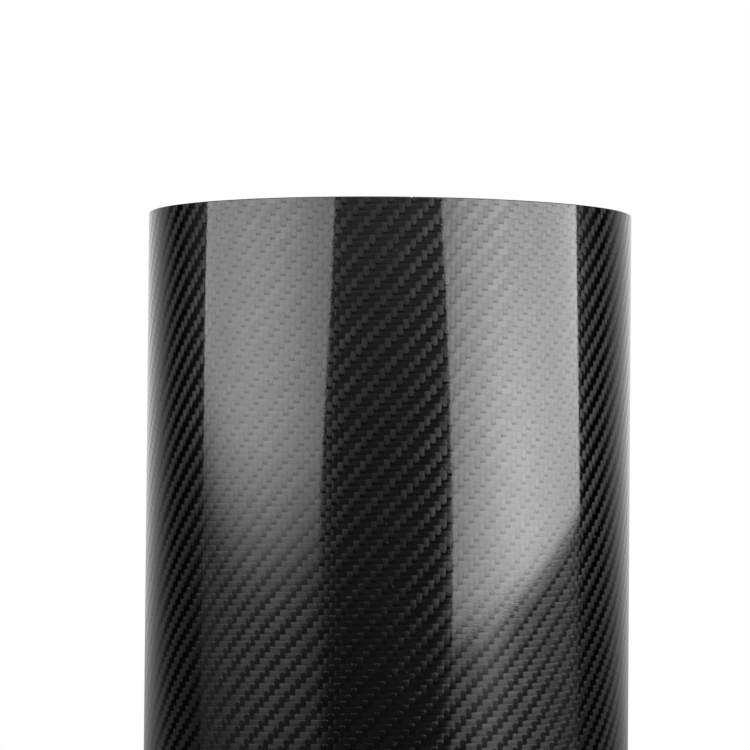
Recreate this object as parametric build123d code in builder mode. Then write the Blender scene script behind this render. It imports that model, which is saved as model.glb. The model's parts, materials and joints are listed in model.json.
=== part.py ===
from build123d import *
import os

# Carbon fibre tube: one cut length of roll-wrapped tube stock, in millimetres.
# It stands upright on its sawn foot. The origin is the middle of the foot, +Z runs
# along the tube, and the side that the photograph shows faces -Y.

# The tube
outer_diameter = 180.0
wall = 3.0
length = 500.0

# Light sanding on the four sawn corners
edge_break = 0.3

# A small chip out of the top end, across the wall
chip_width = 0.8
chip_depth = 0.45
chip_bearing = 4.7  # degrees round the rim, from -Y towards +X

outer_radius = outer_diameter / 2
bore_radius = outer_radius - wall
chip_reach = wall + chip_depth  # past the bore's wall

os.makedirs("parts", exist_ok=True)

with BuildPart() as tube:
    # The laminate is wound on a mandrel, so its wall is one section turned about the axis
    with BuildSketch(Plane.XZ):
        with Locations((bore_radius, 0)):
            Rectangle(wall, length, align=(Align.MIN, Align.MIN))
    revolve(axis=Axis.Z)

    # Both ends are sawn square, and sanding takes the sharp corners off
    sawn_corners = tube.edges().filter_by(GeomType.CIRCLE)
    chamfer(sawn_corners, edge_break)

    # The chip is a vee across the top end, seen from outside as a notch in the rim
    outwards = Vector(0, -1, 0).rotate(Axis.Z, chip_bearing)
    rim_point = outwards * outer_radius + Vector(0, 0, length)
    along_rim = Vector(0, 0, 1).cross(outwards)
    with BuildSketch(Plane(rim_point, x_dir=along_rim, z_dir=outwards)):
        with BuildLine():
            Polyline((-chip_width / 2, 0), (0, -chip_depth), (chip_width / 2, 0), close=True)
        make_face()
    extrude(amount=-chip_reach, mode=Mode.SUBTRACT)

tube.part.label = "tube"
export_step(tube.part, "parts/tube.step")
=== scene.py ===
import json
from math import atan2, cos, hypot, pi, radians, sin, tan

import bpy
from mathutils import Euler, Matrix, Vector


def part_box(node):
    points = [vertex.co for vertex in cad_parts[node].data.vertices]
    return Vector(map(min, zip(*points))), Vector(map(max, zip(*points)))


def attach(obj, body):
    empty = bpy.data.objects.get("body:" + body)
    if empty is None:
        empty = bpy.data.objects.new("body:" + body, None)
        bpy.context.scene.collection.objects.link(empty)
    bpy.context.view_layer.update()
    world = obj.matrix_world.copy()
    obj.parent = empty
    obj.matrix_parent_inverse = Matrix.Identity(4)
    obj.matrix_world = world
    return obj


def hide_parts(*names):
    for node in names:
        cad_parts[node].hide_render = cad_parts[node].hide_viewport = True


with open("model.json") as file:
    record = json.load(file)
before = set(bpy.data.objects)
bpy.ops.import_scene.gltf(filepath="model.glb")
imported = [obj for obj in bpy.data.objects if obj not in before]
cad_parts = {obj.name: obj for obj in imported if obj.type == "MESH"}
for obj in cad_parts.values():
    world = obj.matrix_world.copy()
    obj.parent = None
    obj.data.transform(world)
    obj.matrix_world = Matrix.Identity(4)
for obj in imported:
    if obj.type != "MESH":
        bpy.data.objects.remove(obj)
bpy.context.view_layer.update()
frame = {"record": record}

# Camera
# A long lens stands a little below the cut rim and looks almost level, so that the top of the
# tube fills the lower part of the frame and its sides stay upright.
lengths = {mount["name"]: mount["dims"] for mount in frame["record"]["mounts"]}
outer_radius = lengths["outside"]["r_mm"] / 1000
bore_radius = lengths["bore"]["r_mm"] / 1000
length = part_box("tube")[1][2]
frame_pixels = 750
pixels_per_radian = 2888.3
camera_distance = 12 * outer_radius
camera_below_rim = 0.08235
camera_turn = radians(0.274)    # to the left
camera_tilt = radians(1.213)    # upwards
camera_roll = radians(0.474)
lens = bpy.data.cameras.new("camera")
lens.sensor_width = 36
lens.lens = lens.sensor_width * pixels_per_radian / frame_pixels
camera = bpy.data.objects.new("camera", lens)
camera.location = (0, -camera_distance, length - camera_below_rim)
aim = Euler((pi / 2 + camera_tilt, 0, camera_turn)).to_matrix()
camera.rotation_euler = (aim @ Matrix.Rotation(camera_roll, 3, "Z")).to_euler()
bpy.context.scene.collection.objects.link(camera)
bpy.context.scene.camera = camera


# Tube wall
# One length of roll-wrapped tube: carbon fibre cloth in epoxy, wound on a mandrel and cured,
# clear-coated and polished outside, then sawn square at both ends and lightly sanded.
wall = outer_radius - bore_radius
edge_break = 0.0003
corner_segments = 2
turn_steps = 512
courses = 24
top_course = 0.002


def deselect_all():
    bpy.ops.object.select_all(action="DESELECT")


deselect_all()
bpy.ops.mesh.primitive_plane_add(size=1, rotation=(pi / 2, 0, 0))
tube = bpy.context.object
tube.name = tube.data.name = "carbon_tube"
bpy.ops.object.transform_apply(rotation=True)
bpy.ops.object.mode_set(mode="EDIT")
bpy.ops.transform.resize(value=(wall, 1, length))
bpy.ops.transform.translate(value=(outer_radius - wall / 2, 0, length / 2))
bpy.ops.mesh.bevel(offset=edge_break, segments=corner_segments, affect="VERTICES")
bpy.ops.mesh.delete(type="ONLY_FACE")
bpy.ops.mesh.select_all(action="SELECT")
bpy.ops.mesh.spin(steps=turn_steps, angle=2 * pi, center=(0, 0, 0), axis=(0, 0, 1))
bpy.ops.mesh.select_all(action="SELECT")
bpy.ops.mesh.remove_doubles(threshold=edge_break / 100)
course_heights = [length * course / courses for course in range(1, courses)]
for height in course_heights + [length - top_course]:
    bpy.ops.mesh.select_all(action="SELECT")
    bpy.ops.mesh.bisect(plane_co=(0, 0, height), plane_no=(0, 0, 1))
bpy.ops.mesh.select_all(action="SELECT")
bpy.ops.mesh.normals_make_consistent(inside=False)
bpy.ops.object.mode_set(mode="OBJECT")

# The chip in the rim is cut by a three-sided bar that lies across the wall, one edge down. The
# bar stands as far above the rim as the chip goes below it.
chip_width = 0.0008
chip_depth = 0.00045
chip_bearing = radians(4.7)     # from the front, -Y, towards +X
bar_radius = chip_depth * 4 / 3
smooth_below = radians(20)
deselect_all()
bpy.ops.mesh.primitive_cylinder_add(vertices=3, radius=bar_radius, depth=3 * wall,
                                    rotation=(-pi / 2, 0, 0))
bar = bpy.context.object
bpy.ops.object.transform_apply(rotation=True)
bar.scale.x = chip_width / chip_depth / (2 * tan(radians(30)))
bar.rotation_euler.z = chip_bearing
wall_middle = outer_radius - wall / 2
bar.location = (wall_middle * sin(chip_bearing), -wall_middle * cos(chip_bearing),
                length - chip_depth + bar_radius)
bpy.ops.object.transform_apply(location=True, rotation=True, scale=True)
deselect_all()
bpy.context.view_layer.objects.active = tube
tube.select_set(True)
cut = tube.modifiers.new("chip", "BOOLEAN")
cut.operation = "DIFFERENCE"
cut.solver = "EXACT"
cut.object = bar
bpy.ops.object.modifier_apply(modifier=cut.name)
bpy.data.objects.remove(bar)
bpy.ops.object.shade_smooth_by_angle(angle=smooth_below)

# Each side of the wall has its own strip of the map, with a start and a share of its height.
# The outside, which shows most, has the tallest.
STRIPS = {"foot": (0.01, 0.015), "top": (0.035, 0.015), "bore": (0.07, 0.12), "outside": (0.2, 0.79)}
tube.data.uv_layers.new(name="OFBake")
for extra in [layer for layer in tube.data.uv_layers if layer.name != "OFBake"]:
    tube.data.uv_layers.remove(extra)
map_layer = tube.data.uv_layers["OFBake"]
for face in tube.data.polygons:
    reach = hypot(face.center.x, face.center.y)
    outwards = (face.normal.x * face.center.x + face.normal.y * face.center.y) / reach
    if abs(face.normal.z) > abs(outwards):
        side = "top" if face.normal.z > 0 else "foot"
        face.material_index = 1
    else:
        side = "outside" if outwards > 0 else "bore"
        face.material_index = 0 if outwards > 0 else 2
    start, share = STRIPS[side]
    middle = atan2(face.center.x, -face.center.y)
    for corner in face.loop_indices:
        x, y, z = tube.data.vertices[tube.data.loops[corner].vertex_index].co
        turn = middle + (atan2(x, -y) - middle + pi) % (2 * pi) - pi
        across = z / length if side in ("outside", "bore") else (hypot(x, y) - bore_radius) / wall
        map_layer.data[corner].uv = (turn / (2 * pi) + 0.5, start + share * across)


# Clear-coated 2x2 twill
# 3K carbon fibre cloth under a thick polished clear coat. Each tow is a ribbon of parallel black
# fibres that mirrors light across its width and hardly along it, so the two tow directions
# light up at different places, and the coat adds a sharp, slightly rippled gloss on top.
def hex_colour(code):
    channels = [int(code[i:i + 2], 16) / 255 for i in (1, 3, 5)]
    return [c / 12.92 if c <= 0.04045 else ((c + 0.055) / 1.055) ** 2.4 for c in channels] + [1]


def add(tree, kind, inputs=(), outlet=0, **settings):
    made = tree.nodes.new("ShaderNode" + kind)
    for name, value in settings.items():
        setattr(made, name, value)
    for name, value in dict(inputs).items():
        if isinstance(value, bpy.types.NodeSocket):
            tree.links.new(value, made.inputs[name])
        else:
            made.inputs[name].default_value = value
    return made.outputs[outlet]


# The cloth is wrapped a little off square, so a hoop tow climbs in one turn. Tows round the
# tube and tows climbed add up to a multiple of 4, the twill's repeat, so that the weave closes.
axial_tows = 283
hoop_climb = 13
hoop_pitch = 2.1            # mm
axial_lean = 0.35           # degrees
axial_pitch = 2 * pi * outer_radius * 1000 / axial_tows

laminate = bpy.data.materials.new("clear_coated_twill")
laminate.use_nodes = True
tree = laminate.node_tree
tree.nodes.clear()
place = add(tree, "TexCoord", outlet="Object")
millimetres = add(tree, "VectorMath", {0: place, "Scale": 1000}, operation="SCALE")
split = add(tree, "SeparateXYZ", {0: millimetres}, "X").node
back = add(tree, "Math", {0: split.outputs["Y"], 1: -1}, operation="MULTIPLY")
angle = add(tree, "Math", {0: split.outputs["X"], 1: back}, operation="ARCTAN2")
turns = add(tree, "Math", {0: angle, 1: 2 * pi}, operation="DIVIDE")

# Tows counted round the tube and up it. Handling pulls the cloth a little out of true and rolls
# the axial tows a little, as a slope that drifts to one side and the other.
pull_size = 25              # mm
pull = 0.6                  # tows
roll = 0.02                 # towards +X in front
roll_drift = 0.25           # from one side to the other
drawn = add(tree, "TexNoise", {"Vector": millimetres, "Scale": 1 / pull_size, "Detail": 2.0}, "Color")
drawn = add(tree, "VectorMath", {0: drawn, 1: (pull, pull, roll_drift),
                                   2: (-pull / 2, -pull / 2, roll - roll_drift / 2)},
            operation="MULTIPLY_ADD")
drawn = add(tree, "SeparateXYZ", {0: drawn}, "X").node
lean = add(tree, "Math", {0: split.outputs["Z"], 1: -tan(radians(axial_lean)) / axial_pitch,
                          2: drawn.outputs["X"]}, operation="MULTIPLY_ADD")
axial_count = add(tree, "Math", {0: turns, 1: axial_tows, 2: lean}, operation="MULTIPLY_ADD")
climb = add(tree, "Math", {0: turns, 1: -hoop_climb, 2: drawn.outputs["Y"]},
            operation="MULTIPLY_ADD")
hoop_count = add(tree, "Math", {0: split.outputs["Z"], 1: 1 / hoop_pitch, 2: climb},
                 operation="MULTIPLY_ADD")
axial_tow = add(tree, "Math", {0: axial_count}, operation="FLOOR")
axial_part = add(tree, "Math", {0: axial_count, 1: axial_tow}, operation="SUBTRACT")

# In a 2x2 twill each tow passes over two and under two, one tow further up at each step
repeat = add(tree, "Math", {0: hoop_count, 1: axial_tow}, operation="SUBTRACT")
repeat = add(tree, "Math", {0: repeat, 1: 2, 2: -2}, operation="WRAP")
from_middle = add(tree, "Math", {0: repeat}, operation="ABSOLUTE")
axial_up = add(tree, "Math", {0: from_middle, 1: 1}, operation="LESS_THAN")

# Where a point lies on its float: along it and across it, each from -1 to 1
left_half = add(tree, "Math", {0: repeat, 1: 0}, operation="LESS_THAN")
hoop_along = add(tree, "Math", {0: axial_part, 1: left_half}, operation="SUBTRACT")
along = add(tree, "Mix", {0: axial_up, 2: hoop_along, 3: repeat})
axial_across = add(tree, "Math", {0: axial_part, 1: 2, 2: -1}, operation="MULTIPLY_ADD")
hoop_across = add(tree, "Math", {0: from_middle, 1: 2, 2: -3}, operation="MULTIPLY_ADD")
side = add(tree, "Math", {0: repeat}, operation="SIGN")
hoop_across = add(tree, "Math", {0: hoop_across, 1: side}, operation="MULTIPLY")
across = add(tree, "Mix", {0: axial_up, 2: hoop_across, 3: axial_across})

# Slopes along a float. A hoop float is bowed a little and dives at its very ends. An axial float
# lies flat in the middle and dives at its ends, first at its corners and more steeply at the
# lower end, where a hoop tow presses it down.
hoop_bow = 0.01
hoop_dive = 0.08
hoop_dive_power = 5
axial_bow = 0.02
upper_dive = 0.08
upper_dive_start = 0.7      # of the way from the float's middle to its end
lower_dive = 0.32
lower_dive_start = 0.5
dive_end = 1.05
corners = 0.3
shear = 0.08
reach = add(tree, "Math", {0: across, 1: shear, 2: along}, operation="MULTIPLY_ADD")
reach = add(tree, "Math", {0: reach}, operation="ABSOLUTE")
bow = add(tree, "Math", {0: across, 1: across}, operation="MULTIPLY")
reach = add(tree, "Math", {0: bow, 1: corners, 2: reach}, operation="MULTIPLY_ADD")
upper_end = add(tree, "Math", {0: along, 1: 0}, operation="GREATER_THAN")
dive = add(tree, "MapRange", {0: upper_end, 3: -lower_dive, 4: upper_dive})
dive_start = add(tree, "MapRange", {0: upper_end, 3: lower_dive_start, 4: upper_dive_start})
dive = add(tree, "MapRange", {0: reach, 1: dive_start, 2: dive_end, 3: 0, 4: dive},
           interpolation_type="SMOOTHSTEP")
dive = add(tree, "Math", {0: along, 1: axial_bow, 2: dive}, operation="MULTIPLY_ADD")
bow = add(tree, "Math", {0: along, 1: hoop_dive_power}, operation="POWER")
bow = add(tree, "Math", {0: bow, 1: hoop_dive}, operation="MULTIPLY")
bow = add(tree, "Math", {0: along, 1: hoop_bow, 2: bow}, operation="MULTIPLY_ADD")
along_slope = add(tree, "Mix", {0: axial_up, 2: bow, 3: dive})

# Slopes across a float: a low crown, rounded off at the edges
hoop_crown = 0.025
axial_crown = 0.07
round_off = 0.05
round_off_power = 6
across_slope = add(tree, "Math", {0: across, 1: round_off_power}, operation="POWER")
crown = add(tree, "MapRange", {0: axial_up, 3: hoop_crown, 4: axial_crown})
across_slope = add(tree, "Math", {0: across_slope, 1: round_off, 2: crown},
                   operation="MULTIPLY_ADD")
across_slope = add(tree, "Math", {0: across_slope, 1: across}, operation="MULTIPLY")
across_slope = add(tree, "Math", {0: axial_up, 1: drawn.outputs["Z"], 2: across_slope},
                   operation="MULTIPLY_ADD")

# Bundles of fibres show as fine streaks along the tow. They are drawn about three times as
# coarse as real bundles, which would be too fine to see.
streak_width = 0.5          # mm
streak_length = 6           # mm
streak_slope = 0.12
fine = 1 / streak_width
long = 1 / streak_length
streak_scale = add(tree, "Mix", {0: axial_up, 4: (long, long, fine), 5: (fine, fine, long)}, 1,
                   data_type="VECTOR")
streaks = add(tree, "VectorMath", {0: millimetres, 1: streak_scale}, operation="MULTIPLY")
streaks = add(tree, "TexNoise", {"Vector": streaks, "Scale": 1.0, "Detail": 1.0})
across_slope = add(tree, "Math", {0: streaks, 1: streak_slope, 2: across_slope},
                   operation="MULTIPLY_ADD")
across_slope = add(tree, "Math", {0: across_slope, 1: streak_slope / 2}, operation="SUBTRACT")

# The slopes tilt the tow's mirror along its fibres and across them
hoop_way = add(tree, "Tangent", direction_type="RADIAL", axis="Z")
fibre_way = add(tree, "Mix", {0: axial_up, 4: hoop_way, 5: (0, 0, 1)}, 1, data_type="VECTOR")
cross_way = add(tree, "Mix", {0: axial_up, 4: (0, 0, 1), 5: hoop_way}, 1, data_type="VECTOR")
normal = add(tree, "NewGeometry", outlet="Normal")
along_tilt = add(tree, "VectorMath", {0: fibre_way, "Scale": along_slope}, operation="SCALE")
across_tilt = add(tree, "VectorMath", {0: cross_way, "Scale": across_slope}, operation="SCALE")
tilted = add(tree, "VectorMath", {0: normal, 1: along_tilt}, operation="ADD")
tilted = add(tree, "VectorMath", {0: tilted, 1: across_tilt}, operation="ADD")
tilted = add(tree, "VectorMath", {0: tilted}, operation="NORMALIZE")

# No two floats have quite the same tone. A float is named by its tow and its place on it.
hoop_tone_range = 0.25
axial_tone_range = 0.35
hoop_tow = add(tree, "Math", {0: hoop_count}, operation="FLOOR")
first_tow = add(tree, "Math", {0: axial_tow, 1: left_half}, operation="ADD")
middle_row = add(tree, "Math", {0: hoop_count, 1: repeat}, operation="SUBTRACT")
middle_row = add(tree, "Math", {0: middle_row}, operation="ROUND")
axial_name = add(tree, "CombineXYZ", {0: axial_tow, 1: middle_row, 2: 1})
hoop_name = add(tree, "CombineXYZ", {0: first_tow, 1: hoop_tow, 2: 2})
name = add(tree, "Mix", {0: axial_up, 4: hoop_name, 5: axial_name}, 1, data_type="VECTOR")
tone = add(tree, "TexWhiteNoise", {0: name})
tone = add(tree, "Math", {0: tone, 1: 0.5}, operation="SUBTRACT")
tone_range = add(tree, "MapRange", {0: axial_up, 3: hoop_tone_range, 4: axial_tone_range})
tone = add(tree, "Math", {0: tone, 1: tone_range, 2: 1}, operation="MULTIPLY_ADD")

# Polished clear coat, with the slight ripple of sanding and polishing
ripple_size = 0.5           # mm
ripple_height = 0.005       # mm
ripple = add(tree, "TexNoise", {"Vector": millimetres, "Scale": 1 / ripple_size, "Detail": 0.0})

# A few pinholes are left in it
pinhole_spacing = 22        # mm
pinhole_radius = 0.3        # mm
pinhole_depth = 0.08        # mm
round_way = add(tree, "Math", {0: turns, 1: 2 * pi * outer_radius * 1000}, operation="MULTIPLY")
unrolled = add(tree, "CombineXYZ", {0: round_way, 1: split.outputs["Z"]})
pinhole = add(tree, "TexVoronoi", {"Vector": unrolled, "Scale": 1 / pinhole_spacing},
              voronoi_dimensions="2D")
pinhole = add(tree, "MapRange", {0: pinhole, 1: pinhole_radius / pinhole_spacing, 2: 0, 3: 0, 4: 1},
              interpolation_type="SMOOTHSTEP")
relief = add(tree, "Math", {0: pinhole, 1: -pinhole_depth}, operation="MULTIPLY")
relief = add(tree, "Math", {0: ripple, 1: ripple_height, 2: relief}, operation="MULTIPLY_ADD")
coat_normal = add(tree, "Bump", {"Height": relief, "Distance": 0.001, "Strength": 1.0})

# The fibres mirror a little like graphite, and more weakly where a tow goes down into the resin. The
# darkening of the tows' edges and ends is partly that and partly painted shade in the grooves between
# the tows and under the crossing tows. Shade is how dark that place is, from 0 to 1, and starts are
# shares of the float's half width or half length.
hoop_grey = hex_colour("#343434")
axial_grey = hex_colour("#2c2c2c")
groove_shade_black = hex_colour("#0a0a0a")
# Painted shade in the grooves along both edges of every tow
edge_start = 0.8
edge_shade = 0.15
# Painted shade in the groove along the left edge of an axial float
left_start = 0.6            # left edge of an axial float
left_shade = 0.3
# Darker tips where an axial float dives into the resin, partly painted shade
far_end = 1.3               # tip of an axial float
far_shade = 0.45
# Painted shadow of the hoop tow over the lower end of an axial float
gap_start = 0.66            # lower end of an axial float, under the hoop tow
gap_end = 0.88
gap_shade = 0.97
# Painted shade in the groove at the right end of a hoop float
right_start = 0.6           # right end of a hoop float
right_shade = 0.3
tows = add(tree, "Mix", {0: axial_up, 6: hoop_grey, 7: axial_grey}, 2, data_type="RGBA")
tows = add(tree, "VectorMath", {0: tows, "Scale": tone}, operation="SCALE")
edge = add(tree, "Math", {0: across}, operation="ABSOLUTE")
edge = add(tree, "MapRange", {0: edge, 1: edge_start, 2: 1, 3: 0, 4: edge_shade},
           interpolation_type="SMOOTHSTEP")
axial_shade = add(tree, "MapRange", {0: across, 1: -left_start, 2: -1, 3: 0, 4: left_shade})
tip = add(tree, "MapRange", {0: reach, 1: dive_start, 2: far_end, 3: 0, 4: far_shade})
axial_shade = add(tree, "Math", {0: axial_shade, 1: tip}, operation="MAXIMUM")
# The painted shadow under the hoop tow, on the lower end only
gap = add(tree, "MapRange", {0: reach, 1: gap_start, 2: gap_end, 3: 0, 4: gap_shade},
          interpolation_type="SMOOTHSTEP")
gap = add(tree, "MapRange", {0: upper_end, 3: gap, 4: 0})
axial_shade = add(tree, "Math", {0: axial_shade, 1: gap}, operation="MAXIMUM")
hoop_shade = add(tree, "MapRange", {0: along, 1: right_start, 2: 1, 3: 0, 4: right_shade})
# All the painted shade together, which darkens the tows' colour towards near black
groove_shade = add(tree, "Mix", {0: axial_up, 2: hoop_shade, 3: axial_shade})
groove_shade = add(tree, "Math", {0: edge, 1: groove_shade}, operation="MAXIMUM")
tows = add(tree, "Mix", {0: groove_shade, 6: tows, 7: groove_shade_black}, 2, data_type="RGBA")

# The axial tows mirror a little more roughly, with a faint sheen
hoop_roughness = 0.19
axial_roughness = 0.26
axial_sheen = 0.24
roughness = add(tree, "MapRange", {0: axial_up, 3: hoop_roughness, 4: axial_roughness})
sheen = add(tree, "Math", {0: axial_up, 1: axial_sheen}, operation="MULTIPLY")

surface = add(tree, "BsdfPrincipled", {
    "Base Color": tows,
    "Metallic": 1.0,
    "Roughness": roughness,
    "Anisotropic": 1.0,
    "Tangent": cross_way,
    "Normal": tilted,
    "Coat Weight": 1.0,
    "Coat Roughness": 0.02,
    "Coat IOR": 1.5,
    "Coat Normal": coat_normal,
    "Sheen Weight": sheen,
    "Sheen Roughness": 0.45,
}).node
output = tree.nodes.new("ShaderNodeOutputMaterial")
tree.links.new(surface.outputs[0], output.inputs["Surface"])
tube.data.materials.append(laminate)

# The sawn and sanded ends show the plies of the laminate as fine rings, each a little wavy where
# its tows cross. Their dull dark grey lets the eye read the wall's edge against the gloss.
plies = 12
ply_wave = 0.05             # mm
ring_start = 0.4            # of a ply's cosine, from where its glue line shows
cut_softness = 0.5
lengthwise_grey = hex_colour("#242424")
crosswise_grey = hex_colour("#303030")
glue_line_black = hex_colour("#161616")
dust_size = 0.5             # mm
dust_contrast = 0.2
end_roughness = 0.55
end_roughness_range = 0.08
sanded = bpy.data.materials.new("sanded_laminate")
sanded.use_nodes = True
tree = sanded.node_tree
tree.nodes.clear()
place = add(tree, "TexCoord", outlet="Object")
millimetres = add(tree, "VectorMath", {0: place, "Scale": 1000}, operation="SCALE")
flat = add(tree, "VectorMath", {0: millimetres, 1: (1, 1, 0)}, operation="MULTIPLY")
reach = add(tree, "VectorMath", {0: flat}, "Value", operation="LENGTH")
split = add(tree, "SeparateXYZ", {0: millimetres}, "X").node
angle = add(tree, "Math", {0: split.outputs["X"], 1: split.outputs["Y"]}, operation="ARCTAN2")
depth = add(tree, "Math", {0: reach, 1: plies / (wall * 1000), 2: -plies * bore_radius / wall},
            operation="MULTIPLY_ADD")
ply = add(tree, "Math", {0: depth}, operation="FLOOR")
crossing = add(tree, "Math", {0: angle, 1: axial_tows / 2, 2: ply}, operation="MULTIPLY_ADD")
crossing = add(tree, "Math", {0: crossing}, operation="SINE")
depth = add(tree, "Math", {0: crossing, 1: ply_wave * plies / (wall * 1000), 2: depth},
            operation="MULTIPLY_ADD")
rings = add(tree, "Math", {0: depth, 1: 2 * pi}, operation="MULTIPLY")
rings = add(tree, "Math", {0: rings}, operation="COSINE")
rings = add(tree, "MapRange", {0: rings, 1: ring_start, 2: 1}, interpolation_type="SMOOTHSTEP")
cut = add(tree, "MapRange", {0: crossing, 1: -cut_softness, 2: cut_softness},
          interpolation_type="SMOOTHSTEP")
fibres = add(tree, "Mix", {0: cut, 6: lengthwise_grey, 7: crosswise_grey}, 2, data_type="RGBA")
fibres = add(tree, "Mix", {0: rings, 6: fibres, 7: glue_line_black}, 2, data_type="RGBA")
dust = add(tree, "TexNoise", {"Vector": millimetres, "Scale": 1 / dust_size, "Detail": 2.0})
roughness = add(tree, "MapRange", {0: dust, 1: 0.5 - dust_contrast, 2: 0.5 + dust_contrast,
                                   3: end_roughness - end_roughness_range,
                                   4: end_roughness + end_roughness_range})
surface = add(tree, "BsdfPrincipled", {"Base Color": fibres, "Roughness": roughness})
output = tree.nodes.new("ShaderNodeOutputMaterial")
tree.links.new(surface, output.inputs["Surface"])
tube.data.materials.append(sanded)

# The bore keeps the smooth satin face that the waxed mandrel gave it. The same twill shows
# faintly through a thin skin of resin, so that the inside reads as cloth and not as paint.
bore_hoop_grey = hex_colour("#1f1f1f")
bore_axial_grey = hex_colour("#303030")
bore_hoop_roughness = 0.42
bore_axial_roughness = 0.33
float_end_softness = 0.07   # tows
satin = bpy.data.materials.new("mandrel_side_laminate")
satin.use_nodes = True
tree = satin.node_tree
tree.nodes.clear()
place = add(tree, "TexCoord", outlet="Object")
millimetres = add(tree, "VectorMath", {0: place, "Scale": 1000}, operation="SCALE")
split = add(tree, "SeparateXYZ", {0: millimetres}, "X").node
angle = add(tree, "Math", {0: split.outputs["X"], 1: split.outputs["Y"]}, operation="ARCTAN2")
axial_count = add(tree, "Math", {0: angle, 1: axial_tows / (2 * pi)}, operation="MULTIPLY")
axial_tow = add(tree, "Math", {0: axial_count}, operation="FLOOR")
climb = add(tree, "Math", {0: angle, 1: -hoop_climb / (2 * pi)}, operation="MULTIPLY")
hoop_count = add(tree, "Math", {0: split.outputs["Z"], 1: 1 / hoop_pitch, 2: climb},
                 operation="MULTIPLY_ADD")
repeat = add(tree, "Math", {0: hoop_count, 1: axial_tow}, operation="SUBTRACT")
repeat = add(tree, "Math", {0: repeat, 1: 2, 2: -2}, operation="WRAP")
from_middle = add(tree, "Math", {0: repeat}, operation="ABSOLUTE")
axial_up = add(tree, "MapRange", {0: from_middle, 1: 1 - float_end_softness,
                                  2: 1 + float_end_softness, 3: 1, 4: 0})
tows = add(tree, "Mix", {0: axial_up, 6: bore_hoop_grey, 7: bore_axial_grey}, 2, data_type="RGBA")
roughness = add(tree, "MapRange", {0: axial_up, 3: bore_hoop_roughness, 4: bore_axial_roughness})
surface = add(tree, "BsdfPrincipled", {"Base Color": tows, "Roughness": roughness})
output = tree.nodes.new("ShaderNodeOutputMaterial")
tree.links.new(surface, output.inputs["Surface"])
tube.data.materials.append(satin)

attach(tube, "root")
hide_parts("tube")


# Softboxes
# Two large softboxes left and right of the camera give the two pale panels on the gloss. Each is
# an upright cloth screen with a hot middle, drawn as a flat outline of (sideways, height) points.
softbox_distance = 1.6
rim_height = 0.45
rim_power = 4
top_height = 0.66
top_rise = 0.1
spill_depth = 0.055
spill_everywhere = 0.08

# What the numbers of a softbox say, in metres and as strengths of light:
# wash: strength in the middle, and how much it gains for each metre sideways
# hot, hot_place, hot_spread, lean: the hot spot's strength, place, size and slant
# rim: middle and half width of the cloth, whose rims gain strength for each metre of height
# top: what the strip along the top adds
# foot: height of the lower edge in the middle, its slant and its bend
# foot_fade: depth of the fade at that edge, and how much it gains sideways
# spill: place, width and strength of the glow below that edge
SOFTBOXES = {
    "left": {
        "bearing": radians(-62), "wash": (1.48, 0), "hot": 2.95, "hot_place": (0.02, 0.48),
        "hot_spread": (0.9, 0.25), "lean": 0.5, "rim": (0.25, 1.25, 8.5), "top": 0.8,
        "foot": (0.345, -0.035, 0.04), "foot_fade": (0.09, 0), "spill": (0, 0.8, 0.15),
        "outline": [(0.97, 0.1), (0.99, 0.375), (1.14, 0.55), (1.22, 0.67), (0.7, 0.8),
                    (0.5, 1.1), (-0.1, 1.1), (-0.4, 0.75), (-0.95, 0.66), (-1.0, 0.54),
                    (-1.03, 0.1)],
    },
    "right": {
        "bearing": radians(64), "wash": (3.5, 1.1), "hot": 4.35, "hot_place": (-0.12, 0.38),
        "hot_spread": (0.6, 0.22), "lean": -1.0, "rim": (-0.35, 1.4, 14), "top": 2.5,
        "foot": (0.285, 0.054, -0.002), "foot_fade": (0.022, -0.008),
        "spill": (-0.45, 0.28, 1.9),
        "outline": [(-1.08, 0.1), (-1.12, 0.375), (-1.26, 0.555), (-1.4, 0.665), (-1.15, 0.7),
                    (-1.0, 1.4), (-0.4, 1.4), (-0.2, 0.68), (0.94, 0.66), (0.97, 0.635),
                    (1.135, 0.36), (1.12, 0.1)],
    },
}
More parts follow.
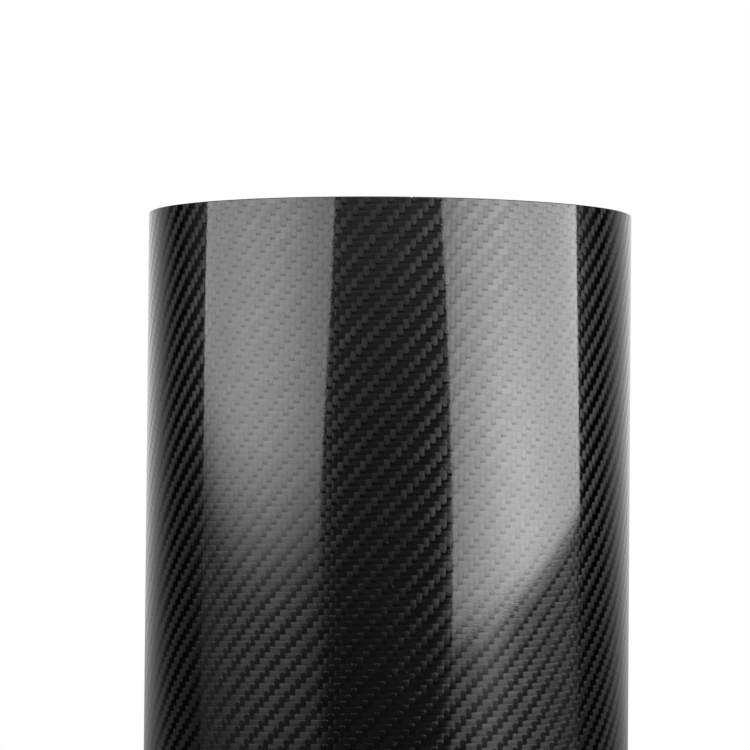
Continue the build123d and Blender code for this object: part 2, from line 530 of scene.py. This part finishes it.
for side, box in SOFTBOXES.items():
    facing = (sin(box["bearing"]), -cos(box["bearing"]))
    sideways = (cos(box["bearing"]), sin(box["bearing"]))
    points = [(softbox_distance * facing[0] + across * sideways[0],
               softbox_distance * facing[1] + across * sideways[1], height)
              for across, height in box["outline"]]
    sheet = bpy.data.meshes.new(side + "_softbox")
    sheet.from_pydata(points, [], [range(len(points))])
    softbox = bpy.data.objects.new(side + "_softbox", sheet)
    bpy.context.scene.collection.objects.link(softbox)
    glow = bpy.data.materials.new(side + "_softbox")
    glow.use_nodes = True
    tree = glow.node_tree
    tree.nodes.clear()
    place = add(tree, "TexCoord", outlet="Object")
    across = add(tree, "VectorMath", {0: place, 1: (*sideways, 0)}, "Value",
                 operation="DOT_PRODUCT")
    height = add(tree, "SeparateXYZ", {0: place}, "Z")
    hot_across, hot_height = box["hot_place"]
    hot_width, hot_rise = box["hot_spread"]
    up = add(tree, "Math", {0: height, 1: hot_height}, operation="SUBTRACT")
    off = add(tree, "Math", {0: up, 1: -box["lean"], 2: across}, operation="MULTIPLY_ADD")
    off = add(tree, "Math", {0: off, 1: 1 / hot_width, 2: -hot_across / hot_width},
              operation="MULTIPLY_ADD")
    off = add(tree, "Math", {0: off, 1: off}, operation="MULTIPLY")
    up = add(tree, "Math", {0: up, 1: hot_rise}, operation="DIVIDE")
    spread = add(tree, "Math", {0: up, 1: up, 2: off}, operation="MULTIPLY_ADD")
    spread = add(tree, "Math", {0: spread, 1: 1}, operation="ADD")
    hot = add(tree, "Math", {0: box["hot"], 1: spread}, operation="DIVIDE")
    level, tilt = box["wash"]
    wash = add(tree, "Math", {0: across, 1: tilt, 2: level}, operation="MULTIPLY_ADD")
    hot = add(tree, "Math", {0: hot, 1: wash}, operation="ADD")
    middle, half, gain = box["rim"]
    rim = add(tree, "Math", {0: across, 1: 1 / half, 2: -middle / half}, operation="MULTIPLY_ADD")
    rim = add(tree, "Math", {0: rim, 1: rim_power}, operation="POWER")
    up = add(tree, "Math", {0: height, 1: gain, 2: -gain * rim_height}, operation="MULTIPLY_ADD")
    hot = add(tree, "Math", {0: rim, 1: up, 2: hot}, operation="MULTIPLY_ADD")
    top = add(tree, "MapRange", {0: height, 1: top_height, 2: top_height + top_rise,
                                 3: 0, 4: box["top"]})
    hot = add(tree, "Math", {0: hot, 1: top}, operation="ADD")

    # Towards its foot the glow fades out, at a height and over a depth that change sideways
    level, slant, bend = box["foot"]
    foot = add(tree, "Math", {0: across, 1: bend, 2: slant}, operation="MULTIPLY_ADD")
    foot = add(tree, "Math", {0: across, 1: foot, 2: level}, operation="MULTIPLY_ADD")
    depth, gain = box["foot_fade"]
    fade = add(tree, "Math", {0: across, 1: gain, 2: depth}, operation="MULTIPLY_ADD")
    above = add(tree, "Math", {0: height, 1: foot}, operation="SUBTRACT")
    shown = add(tree, "Math", {0: above, 1: fade}, operation="DIVIDE")
    shown = add(tree, "MapRange", {0: shown, 1: -1, 2: 1}, interpolation_type="SMOOTHSTEP")

    # Some light spills below the foot, most of it near one place
    spill_across, spill_width, level = box["spill"]
    off = add(tree, "Math", {0: across, 1: 1 / spill_width, 2: -spill_across / spill_width},
              operation="MULTIPLY_ADD")
    off = add(tree, "Math", {0: off, 1: off}, operation="MULTIPLY")
    below = add(tree, "Math", {0: above, 1: 0}, operation="MINIMUM")
    below = add(tree, "Math", {0: below, 1: 1 / spill_depth}, operation="MULTIPLY")
    off = add(tree, "Math", {0: below, 1: off}, operation="SUBTRACT")
    spill = add(tree, "Math", {0: off}, operation="EXPONENT")
    spill = add(tree, "Math", {0: spill, 1: level, 2: spill_everywhere}, operation="MULTIPLY_ADD")
    strength = add(tree, "Mix", {0: shown, 2: spill, 3: hot})
    light = add(tree, "Emission", {"Strength": strength})
    out = tree.nodes.new("ShaderNodeOutputMaterial")
    tree.links.new(light, out.inputs["Surface"])
    sheet.materials.append(glow)
    softbox.visible_camera = False


# White surround
# The camera sees plain white all round. Gloss sees it only behind the tube, where it fades out
# towards the sides and below, overhead in front, and faintly from the ground. Dull surfaces get
# a weak even fill.
behind_start = radians(118)     # bearings from the camera's side, -Y
behind_full = radians(167)
behind_level = 0.78
below_start = radians(-9)       # heights above the horizon
below_level = 0.05
overhead_start = radians(-1)
overhead_full = radians(24)
overhead_level = 1.25
front_end = radians(86)
side_start = radians(121)
ground_start = radians(-11)
ground_full = radians(-20)
ground_level = 0.25
fill = 0.4
world = bpy.data.worlds.new("surround")
bpy.context.scene.world = world
world.cycles.sampling_method = "NONE"
world.use_nodes = True
tree = world.node_tree
tree.nodes.clear()
way = add(tree, "TexCoord", outlet="Generated")
split = add(tree, "SeparateXYZ", {0: way}, "X").node
front = add(tree, "Math", {0: split.outputs["Y"], 1: -1}, operation="MULTIPLY")
bearing = add(tree, "Math", {0: split.outputs["X"], 1: front}, operation="ARCTAN2")
bearing = add(tree, "Math", {0: bearing}, operation="ABSOLUTE")
behind = add(tree, "MapRange", {0: bearing, 1: behind_start, 2: behind_full, 3: 0, 4: behind_level},
             interpolation_type="SMOOTHSTEP")
lower = add(tree, "MapRange", {0: split.outputs["Z"], 1: sin(below_start), 2: 0,
                               3: below_level, 4: 1})
behind = add(tree, "Math", {0: behind, 1: lower}, operation="MULTIPLY")
overhead = add(tree, "MapRange", {0: split.outputs["Z"], 1: sin(overhead_start),
                                  2: sin(overhead_full), 3: 0, 4: overhead_level},
               interpolation_type="SMOOTHSTEP")
in_front = add(tree, "MapRange", {0: bearing, 1: front_end, 2: side_start, 3: 1, 4: 0},
               interpolation_type="SMOOTHSTEP")
around = add(tree, "Math", {0: overhead, 1: in_front, 2: behind}, operation="MULTIPLY_ADD")
ground = add(tree, "MapRange", {0: split.outputs["Z"], 1: sin(ground_start), 2: sin(ground_full),
                                3: 0, 4: ground_level}, interpolation_type="SMOOTHSTEP")
around = add(tree, "Math", {0: around, 1: ground}, operation="ADD")
path = add(tree, "LightPath", outlet="Is Camera Ray").node
glossy = add(tree, "Math", {0: around, 1: path.outputs["Is Glossy Ray"]}, operation="MULTIPLY")
dull = add(tree, "Math", {0: path.outputs["Is Diffuse Ray"], 1: fill}, operation="MULTIPLY")
level = add(tree, "Math", {0: glossy, 1: dull}, operation="ADD")
level = add(tree, "Math", {0: level, 1: path.outputs["Is Camera Ray"]}, operation="ADD")
white = add(tree, "Background", {"Color": (1, 1, 1, 1), "Strength": level})
out = tree.nodes.new("ShaderNodeOutputWorld")
tree.links.new(white, out.inputs["Surface"])


# Floor
# A plain pale floor that fades into the white surround. It keeps the tube's shadow.
floor_radius = 0.9
floor_sides = 128
fade_start = floor_radius / 3
floor_lift = 0.45           # for the camera only
floor_grey = hex_colour("#d8d8d6")
deselect_all()
bpy.ops.mesh.primitive_circle_add(vertices=floor_sides, radius=floor_radius, fill_type="NGON")
floor = bpy.context.object
floor.name = "floor"
paint = bpy.data.materials.new("pale_floor")
paint.use_nodes = True
tree = paint.node_tree
tree.nodes.clear()
place = add(tree, "TexCoord", outlet="Object")
reach = add(tree, "VectorMath", {0: place}, "Value", operation="LENGTH")
gone = add(tree, "MapRange", {0: reach, 1: fade_start, 2: floor_radius},
           interpolation_type="SMOOTHSTEP")
matt = add(tree, "BsdfDiffuse", {"Color": floor_grey})
seen = add(tree, "LightPath", outlet="Is Camera Ray")
lift = add(tree, "Math", {0: seen, 1: floor_lift}, operation="MULTIPLY")
lift = add(tree, "Emission", {"Strength": lift})
painted = add(tree, "AddShader", {0: matt, 1: lift})
clear = add(tree, "BsdfTransparent")
faded = add(tree, "MixShader", {0: gone, 1: painted, 2: clear})
out = tree.nodes.new("ShaderNodeOutputMaterial")
tree.links.new(faded, out.inputs["Surface"])
floor.data.materials.append(paint)
floor.visible_glossy = False

bpy.context.scene.view_settings.view_transform = "Standard"
